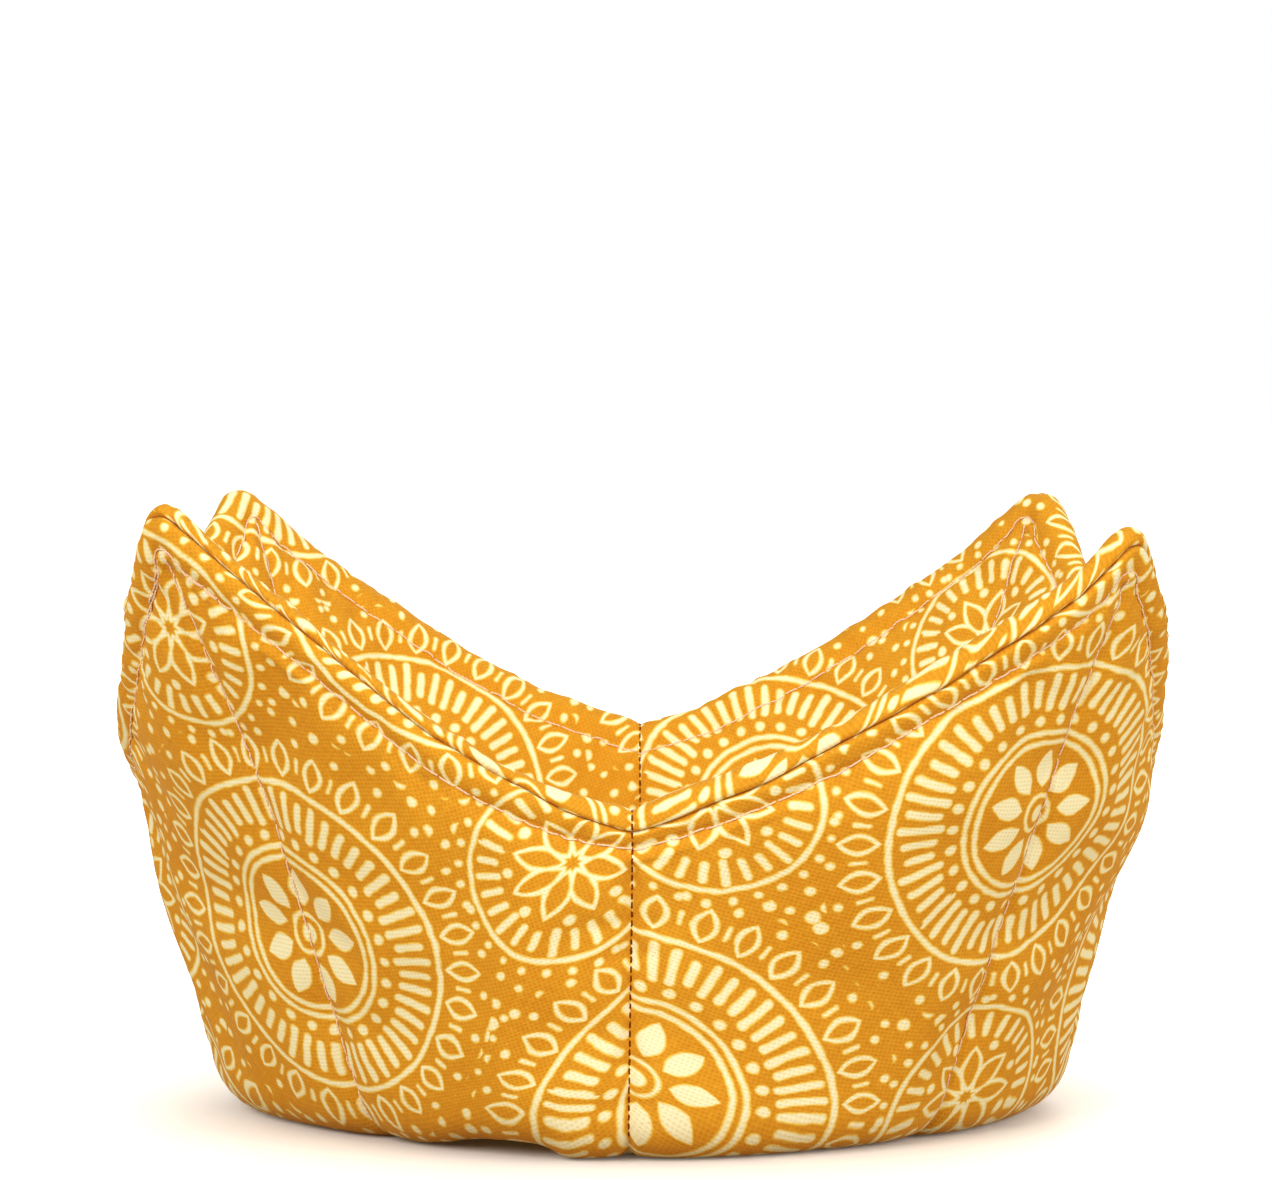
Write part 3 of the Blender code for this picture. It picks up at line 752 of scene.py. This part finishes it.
def printed_cotton(name, shift, turn):
    """Canvas with a generic folk print of rosettes."""
    paint = Paint(name)
    raw_x, raw_y = paint.cut(1000.0)
    where = paint.vector(raw_x, raw_y)
    x = raw_x * math.cos(turn) - raw_y * math.sin(turn) + shift[0]
    y = raw_x * math.sin(turn) + raw_y * math.cos(turn) + shift[1]

    # the wobble of a line drawn by hand, and the uneven width of its ink
    elsewhere = paint.vector(raw_x + 311.0, raw_y)
    wobble_x, wobble_y = (paint.noise(place, 0.035, 1.0) - 0.5 for place in (where, elsewhere))
    small = paint.noise(where, 0.22, 1.0) - 0.5
    x, y = x + wobble_x * 3.0 + small * 0.5, y + wobble_y * 3.0 - small * 0.5
    ink = (paint.noise(where, 0.42, 2.0) - 0.5) * 0.55

    def tile(shift):
        """The distance from the middle of each repeat of the print, and the angle round it."""
        from_x, from_y = (((value / PRINT_REPEAT + shift).part() - 0.5) * PRINT_REPEAT for value in (x, y))
        return from_x.hypot(from_y), from_y.angle_of(from_x)

    # a large and a small rosette by turns, like the squares of a chessboard
    r, a = tile(0.0)
    far_from_large = LARGE_ROSETTE - r
    shapes = [
        r - 1.5,
        ring(r, 3.2, 0.35),
        leaves(r, a, 4.6, 11.4, 9, 1.95),
        ring(r, 13.0, 0.44),
        ring(r, 14.8, 0.44),
        dots(r, a, 17.0, 26, 0.9),
        strokes(r, a, 19.4, 25.2, 50, 0.70, 0.0, 3.0, paint),
        ring(r, 27.1, 0.48),
        leaves(r, a, 28.6, 34.4, 28, 1.6).size() - 0.44,
        strokes(r, a, 30.4, 32.4, 28, 0.34, 0.5),
        dots(r, a, 35.4, 28, 0.72, 0.5),
    ]
    r, a = tile(0.5)
    shapes += [
        leaves(r, a, 1.4, 9.4, 8, 1.9).size() - 0.44,
        dots(r, a, 9.9, 8, 0.9, 0.5),
        strokes(r, a, 11.7, 15.2, 28, 0.62, 0.0, 5.0, paint),
        ring(r, 16.7, 0.44),
        dots(r, a, 18.7, 30, 0.66, 0.5),
    ]
    design = shapes[0]
    for shape in shapes[1:]:
        design = design.at_most(shape)
    # seeds scattered between the rosettes
    spread, luck = paint.cells(paint.vector(x, y), SEEDS_PER_MM, 0.75)
    seeds = spread * (1 / SEEDS_PER_MM) - (luck * 0.6 + 0.55)
    clear = far_from_large.at_least(SMALL_ROSETTE - r)
    design = design.at_most(seeds.at_least(clear)) - ink

    # plain weave, with slubs along both threads
    warp = raw_x * (math.pi / CANVAS_THREAD)
    weft = raw_y * (math.pi / CANVAS_THREAD)
    weave = (warp.sine() * weft.sine()) * 0.5 + 0.5
    ribs = (warp * 2.0).cosine() * 0.25 + (weft * 2.0).cosine() * 0.25
    slub_x = paint.noise(paint.vector(raw_x * 0.12, raw_y * 2.1), 1.0, 2.0)
    slub_y = paint.noise(paint.vector(raw_x * 2.1, raw_y * 0.12), 1.0, 2.0)
    slubs = (slub_x + slub_y) * 0.5
    blotch = paint.noise(where, 0.05, 3.0)
    mottle = paint.noise(where, 0.9, 3.0, 0.6)

    grain = weave * 0.32 + slubs * 0.8 + blotch * 0.35 + mottle * 0.55
    ground = paint.mix((grain - 0.48).limited(), GROUND_DARK, GROUND_LIGHT)
    halo = paint.mix(weave * 0.6 + slubs * 0.4, HALO_DARK, HALO_LIGHT)
    cream = paint.mix((weave * 0.7 + slubs * 0.4).limited(), CREAM_DARK, CREAM_LIGHT)
    edge = design + (weave - 0.5) * 0.12 + (mottle - 0.5) * 0.3
    colour = paint.mix(edge.below(0.15, 0.22), ground, halo)
    colour = paint.mix(edge.below(-0.10, 0.26), colour, cream)
    height = weave * 0.7 + ribs * 0.35 + slubs * 0.9
    levels = {"Roughness": 0.86, "Specular IOR Level": 0.12, "Sheen Weight": 0.06, "Sheen Roughness": 0.45}
    levels["Sheen Tint"] = (1.0, 0.86, 0.62, 1.0)
    return paint.finish(colour, height, 0.50, 0.00016, levels)


def sewing_thread(name, dark, light, roughness, gloss):
    """Two-ply thread: its twist runs round it, along the UV map's first axis."""
    paint = Paint(name)
    along, around = paint.cut(1.0)
    twist = ((along * 1300.0 + around) * (2 * math.pi)).sine() * 0.5 + 0.5
    fuzz = paint.noise(paint.vector(along * 4000.0, around * 6.0), 1.0, 2.0)
    colour = paint.mix(twist * 0.55 + fuzz * 0.45, dark, light)
    levels = {"Roughness": roughness, "Specular IOR Level": gloss}
    return paint.finish(colour, twist + fuzz * 0.3, 0.6, 0.00006, levels)


def wadding_felt(name):
    paint = Paint(name)
    x, y = paint.cut(1000.0)
    fibres = paint.noise(paint.vector(x * 0.6, y * 2.6), 1.0, 6.0, 0.7)
    tufts = paint.noise(paint.vector(x, y), 0.16, 4.0)
    colour = paint.mix(fibres * 0.6 + tufts * 0.4, (0.60, 0.57, 0.50), (0.90, 0.88, 0.82))
    return paint.finish(colour, fibres + tufts, 0.7, 0.0005, {"Roughness": 0.96, "Sheen Weight": 0.4})


class Grid:
    """A coarser grid of the same cloth."""

    def __init__(self, points, cut, facing):
        self.points, self.cut, self.facing = points, cut, facing


# How the cloth simulation of the stuffing is set up
SIM_COLUMNS = slice(None, None, 4)
SIM_FRAMES = 24
EXTRA_CLOTH = 0.008
WADDING_PUSH = 5.0
WADDING_HOLD = 0.20
MOST_SIM_MOVE = 1.2 * MM
CLOTH_SETTINGS = dict(
    quality=8, mass=0.15, tension_stiffness=15.0, compression_stiffness=15.0, shear_stiffness=5.0,
    bending_stiffness=20.0, tension_damping=10.0, compression_damping=10.0, shear_damping=10.0,
    bending_damping=0.5, air_damping=4.0, vertex_group_mass="held", pin_stiffness=1.0,
    shrink_min=-EXTRA_CLOTH, shrink_max=-EXTRA_CLOTH, use_pressure=True, uniform_pressure_force=WADDING_PUSH,
)


def fill_between(values, places, count):
    """Cubic curves through the values given at some places, along the last axis, read at 0 to count - 1."""
    wanted = np.arange(count)
    slope = np.gradient(values, places, axis=-1)
    low = np.clip(np.searchsorted(places, wanted, side="right") - 1, 0, len(places) - 2)
    width = (places[low + 1] - places[low]).astype(float)
    t = np.clip((wanted - places[low]) / width, 0.0, 1.0)
    first, last = values[..., low], values[..., low + 1]
    leaving, arriving = slope[..., low] * width, slope[..., low + 1] * width
    bend = (2 * t**3 - 3 * t**2 + 1) * first + (t**3 - 2 * t**2 + t) * leaving
    return bend + (3 * t**2 - 2 * t**3) * last + (t**3 - t**2) * arriving


def stuffed(layer):
    """How far the wadding and the stitches' gathers move each point of the layer out, from a simulation.

    A coarser copy of the grid is held at the stitches. It has a little more cloth than fits between them, and
    the wadding pushes it out and holds it back like a spring.
    """
    rows = list(range(1, BASE_ROWS, 2)) + list(range(BASE_ROWS, layer.topstitch_row, 2))
    rows = np.array(rows + [layer.topstitch_row])

    def coarse(values):
        return values[:, SIM_COLUMNS][:, :, rows]

    start = coarse(layer.points)
    helper = sheet_object("stuffing_helper", Grid(start, coarse(layer.cut), layer.facing))

    rho = coarse(layer.rho)
    held = (coarse(layer.from_dart) < 0.3 * MM) & (rho > DART_POINT)
    held |= coarse(layer.from_diagonal) < 0.3 * MM
    held[..., -1] = True
    if layer.facing > 0:
        held |= rho < layer.base[:, SIM_COLUMNS] + 1 * MM
    weight = np.where(held, 1.0, WADDING_HOLD)
    weight = np.moveaxis(weight[:, :-1], 2, 0).reshape(-1)
    group = helper.vertex_groups.new(name="held")
    for value in (1.0, WADDING_HOLD):
        group.add(np.flatnonzero(weight == value).tolist(), value, "REPLACE")
    group.add([len(weight)], 1.0, "REPLACE")

    cloth = helper.modifiers.new("stuffing", "CLOTH")
    for key, value in CLOTH_SETTINGS.items():
        setattr(cloth.settings, key, value)
    cloth.settings.effector_weights.gravity = 0.0
    cloth.collision_settings.use_collision = False
    cloth.point_cache.frame_start, cloth.point_cache.frame_end = 1, SIM_FRAMES
    for time in range(1, SIM_FRAMES + 1):
        bpy.context.scene.frame_set(time)
    with bpy.context.temp_override(object=helper, active_object=helper, selected_objects=[helper]):
        bpy.ops.object.modifier_apply(modifier=cloth.name)
    bpy.context.scene.frame_set(1)
    mesh = helper.data
    places = np.empty(3 * len(mesh.vertices))
    mesh.vertices.foreach_get("co", places)
    bpy.data.objects.remove(helper)
    bpy.data.meshes.remove(mesh)

    moved = places.reshape(-1, 3)[: len(weight)].reshape(len(rows), 4, start.shape[1] - 1, 3)
    moved = np.moveaxis(moved, 0, 2)
    moved = np.concatenate([moved, np.roll(moved[:, :1], -1, axis=0)], axis=1)
    out = ((moved - start) * coarse(layer.normal)).sum(axis=-1) * layer.facing
    out = fill_between(out, rows, layer.topstitch_row + 1)
    out = np.swapaxes(fill_between(np.swapaxes(out, 1, 2), np.arange(COLUMNS)[SIM_COLUMNS], COLUMNS), 1, 2)
    full = np.zeros(layer.rho.shape)
    full[..., : layer.topstitch_row + 1] = MOST_SIM_MOVE * np.tanh(out / MOST_SIM_MOVE)
    return full * smooth((layer.rho - 12 * MM) / (20 * MM))


# The cloth
cover = Layer(1).build(11)
lining = Layer(-1).build(47)
for layer in (cover, lining):
    layer.points += layer.normal * (layer.facing * stuffed(layer))[..., None]
    layer.finish()
cover_print = sheet_object("cover_print", cover)
lining_print = sheet_object("lining_print", lining)
cover_print.data.materials.append(printed_cotton("cover_printed_cotton", (21.0, 38.0), 0.12))
lining_print.data.materials.append(printed_cotton("lining_printed_cotton", (-9.0, 14.0), 0.72))


def wadding_solid(name, cloth):
    """The wadding behind a cloth: it follows the cloth's own puffs and stitch lines, 1 mm behind it."""
    rows = list(range(1, cloth.plain_rows, 3))
    rows += [cloth.plain_rows + 3, cloth.topstitch_row, cloth.topstitch_row + 4]
    take = (slice(None), slice(None, None, 6), rows)
    behind = cloth.points - cloth.normal * (cloth.facing * 1.0 * MM)
    outer = Grid(behind[take], cloth.cut[take], cloth.facing)
    inner = Grid(cloth.core[take], cloth.cut[take], cloth.facing)
    return sheet_object(name, outer, inner)


for bowl, layer, cloth, seed in (("cover", cover, cover_print, 5), ("lining", lining, lining_print, 6)):
    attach(cloth, "root")
    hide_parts(bowl + "_cloth")
    wadding = wadding_solid(bowl + "_padding", layer)
    wadding.data.materials.append(wadding_felt(bowl + "_wadding_felt"))
    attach(wadding, "root")
    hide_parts(bowl + "_wadding")

    # stitches: the quilting stops short of the topstitching, and the darts start at their points
    end = layer.topstitch_row - 3
    dart_start = BASE_ROWS + FOLD_ROWS // 2
    runs = {}
    for key, sides in (("a", (0, 2)), ("b", (1, 3))):
        arms = [column_line(layer, side, HALF_COLUMNS, 0, end) for side in sides]
        line = np.vstack([arms[0][0][::-1], arms[1][0]])
        normal = np.vstack([arms[0][1][::-1], arms[1][1]])
        sink = (0.0 if key == "a" else 0.02) * MM
        made = stitches(
            f"{bowl}_quilting_stitches_{key}", [(line, normal)], seed + ord(key), sink=sink, **QUILTING,
        )
        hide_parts(f"{bowl}_quilting_thread_{key}")
        runs[made] = "stitching_thread"
    around = [ring_line(layer, layer.topstitch_row)]
    if bowl == "cover":
        around.append(second_row(around[0]))
    made = stitches(f"{bowl}_topstitches", around, seed + 40, **TOPSTITCHING)
    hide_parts(f"{bowl}_topstitch_thread")
    runs[made] = "stitching_thread"
    for side, name in enumerate(("right", "back", "left", "front")):
        line = column_line(layer, side, 0, dart_start, layer.seam_row - 1)
        made = stitches(f"{bowl}_dart_stitches_{name}", [line], seed + 60 + side, **DART_STITCHING)
        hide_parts(f"{bowl}_dart_thread_{name}")
        runs[made] = "seam_thread"
    for made, slot in runs.items():
        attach(made, "root")

pale = sewing_thread("pale_thread", (0.78, 0.47, 0.28), (0.97, 0.78, 0.58), 0.55, 0.25)
# dark brown thread for the darts and the rim seam; at the rim seam its darkness is partly painted shade in the
# notch
dark = sewing_thread("dark_thread", (0.12, 0.020, 0.001), (0.25, 0.052, 0.002), 0.9, 0.02)

# the dark thread that shows in the notch between the cover and the lining: a seam thread, whose dark line also
# stands in as painted shade down in the notch
seam = stitches("rim_seam_stitches", [ring_line(cover, cover.seam_row)], 91, **RIM_SEAM_STITCHING_AND_NOTCH_SHADE)
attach(seam, "root")
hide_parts("rim_seam_thread")
for made in [o for o in bpy.data.objects if "stitches" in o.name]:
    made.data.materials.append(dark if "dart" in made.name or "seam" in made.name else pale)


# The floor, the light and the camera. First the floor's own glow, by distance from its middle in half metres.
# Near the bowl the glow is dim and warm, which paints a warm shade round the foot.
FLOOR_GLOW_AND_PAINTED_SHADE = ((0.115, (0.03, 0.015, 0.004)), (0.17, (0.40, 0.38, 0.34)), (0.44, (1.0, 1.0, 1.0)))


def seen_directly(tree):
    """1 for what the camera sees, also in a reflection, and 0 for other light."""
    path = add_node(tree, "LightPath", {}).outputs
    return Maths(tree, path["Is Camera Ray"]).at_least(Maths(tree, path["Is Glossy Ray"]))


def plain_floor():
    mesh = bpy.data.meshes.new("floor")
    far = 6.0
    mesh.from_pydata([(-far, -far, 0), (far, -far, 0), (far, far, 0), (-far, far, 0)], [], [(0, 1, 2, 3)])
    made = bpy.data.objects.new("floor", mesh)
    bpy.context.scene.collection.objects.link(made)
    material = bpy.data.materials.new("white_table")
    material.use_nodes = True
    tree = material.node_tree
    shader = tree.nodes["Principled BSDF"]
    shader.inputs["Roughness"].default_value = 0.6
    shader.inputs["Specular IOR Level"].default_value = 0.05
    seen = seen_directly(tree)
    # the floor looks pale, but lights the bowl's foot from below only a little
    shades = {0: seen, 6: (0.46, 0.34, 0.22, 1.0), 7: (0.90, 0.88, 0.84, 1.0)}
    colour = add_node(tree, "Mix", shades, data_type="RGBA").outputs[2]
    tree.links.new(colour, shader.inputs["Base Color"])
    # the glow grows away from the bowl, so that the floor meets the white behind it without a line, and its
    # dim warm start paints a warm shade round the bowl's foot
    place = add_node(tree, "TexCoord", {}).outputs["Object"]
    distance = Maths(tree, add_node(tree, "VectorMath", {0: place}, operation="LENGTH").outputs["Value"])
    ramp = add_node(tree, "ValToRGB", {"Fac": distance * 2.0})
    ramp.color_ramp.elements.new(FLOOR_GLOW_AND_PAINTED_SHADE[1][0])
    for element, (at, tint) in zip(ramp.color_ramp.elements, FLOOR_GLOW_AND_PAINTED_SHADE):
        element.position = at
        element.color = (*tint, 1.0)
    glow = add_node(tree, "Emission", {"Color": ramp.outputs["Color"], "Strength": seen})
    both = add_node(tree, "AddShader", {0: shader.outputs[0], 1: glow.outputs[0]})
    tree.links.new(both.outputs[0], tree.nodes["Material Output"].inputs["Surface"])
    mesh.materials.append(material)
    return made


def white_world(plain):
    """White where the camera and reflections look, and a plain soft light everywhere else."""
    world = bpy.data.worlds.new("studio")
    world.use_nodes = True
    bpy.context.scene.world = world
    tree = world.node_tree
    background = tree.nodes["Background"]
    level = seen_directly(tree) * (1.0 - plain) + plain
    tree.links.new(level.socket, background.inputs["Strength"])
    background.inputs["Color"].default_value = (1.0, 1.0, 1.0, 1.0)


# The middle of the bowl, at which the lamps and the camera are aimed
VIEW_TARGET = Vector((0.0, 0.0, 0.05))


def softbox(name, place, width, height, power):
    light = bpy.data.lights.new(name, "AREA")
    light.shape = "RECTANGLE"
    light.size, light.size_y = width, height
    light.energy = power
    made = bpy.data.objects.new(name, light)
    bpy.context.scene.collection.objects.link(made)
    made.location = place
    made.rotation_mode = "QUATERNION"
    made.rotation_quaternion = (VIEW_TARGET - Vector(place)).to_track_quat("-Z", "Y")


plain_floor()
white_world(0.45)
softbox("key", (-0.65, -1.10, 0.62), 0.8, 0.6, 13.0)
softbox("fill", (0.95, -0.90, 0.45), 0.8, 0.6, 9.3)
softbox("back", (0.35, 1.15, 0.55), 0.8, 0.6, 6.0)
softbox("top", (0.1, 0.30, 1.2), 0.8, 0.8, 2.5)

# The camera's place and focal length come from the photograph's own perspective on the rim, tips and stitch
# lines, in pixels of a frame 1272 pixels wide
PICTURE_WIDTH = 1272
FOCAL_LENGTH = 5576
VIEW_DISTANCE = 0.951
VIEW_ELEVATION = math.radians(5.1)
VIEW_UP = math.atan(221 / FOCAL_LENGTH)
VIEW_ROLL = 0.00072
SENSOR_WIDTH = 36.0
camera_data = bpy.data.cameras.new("camera")
camera_data.sensor_width = SENSOR_WIDTH
camera_data.lens = SENSOR_WIDTH * FOCAL_LENGTH / PICTURE_WIDTH
camera_data.dof.use_dof = False
camera_data.clip_start, camera_data.clip_end = 0.01, 50.0
camera = bpy.data.objects.new("camera", camera_data)
bpy.context.scene.collection.objects.link(camera)
view_from = Vector((0, -math.cos(VIEW_ELEVATION), math.sin(VIEW_ELEVATION)))
camera.location = VIEW_TARGET + VIEW_DISTANCE * view_from
camera.rotation_euler = (math.pi / 2 - VIEW_ELEVATION + VIEW_UP, 0.0, VIEW_ROLL)
bpy.context.scene.camera = camera
bpy.context.scene.view_settings.view_transform = "Standard"
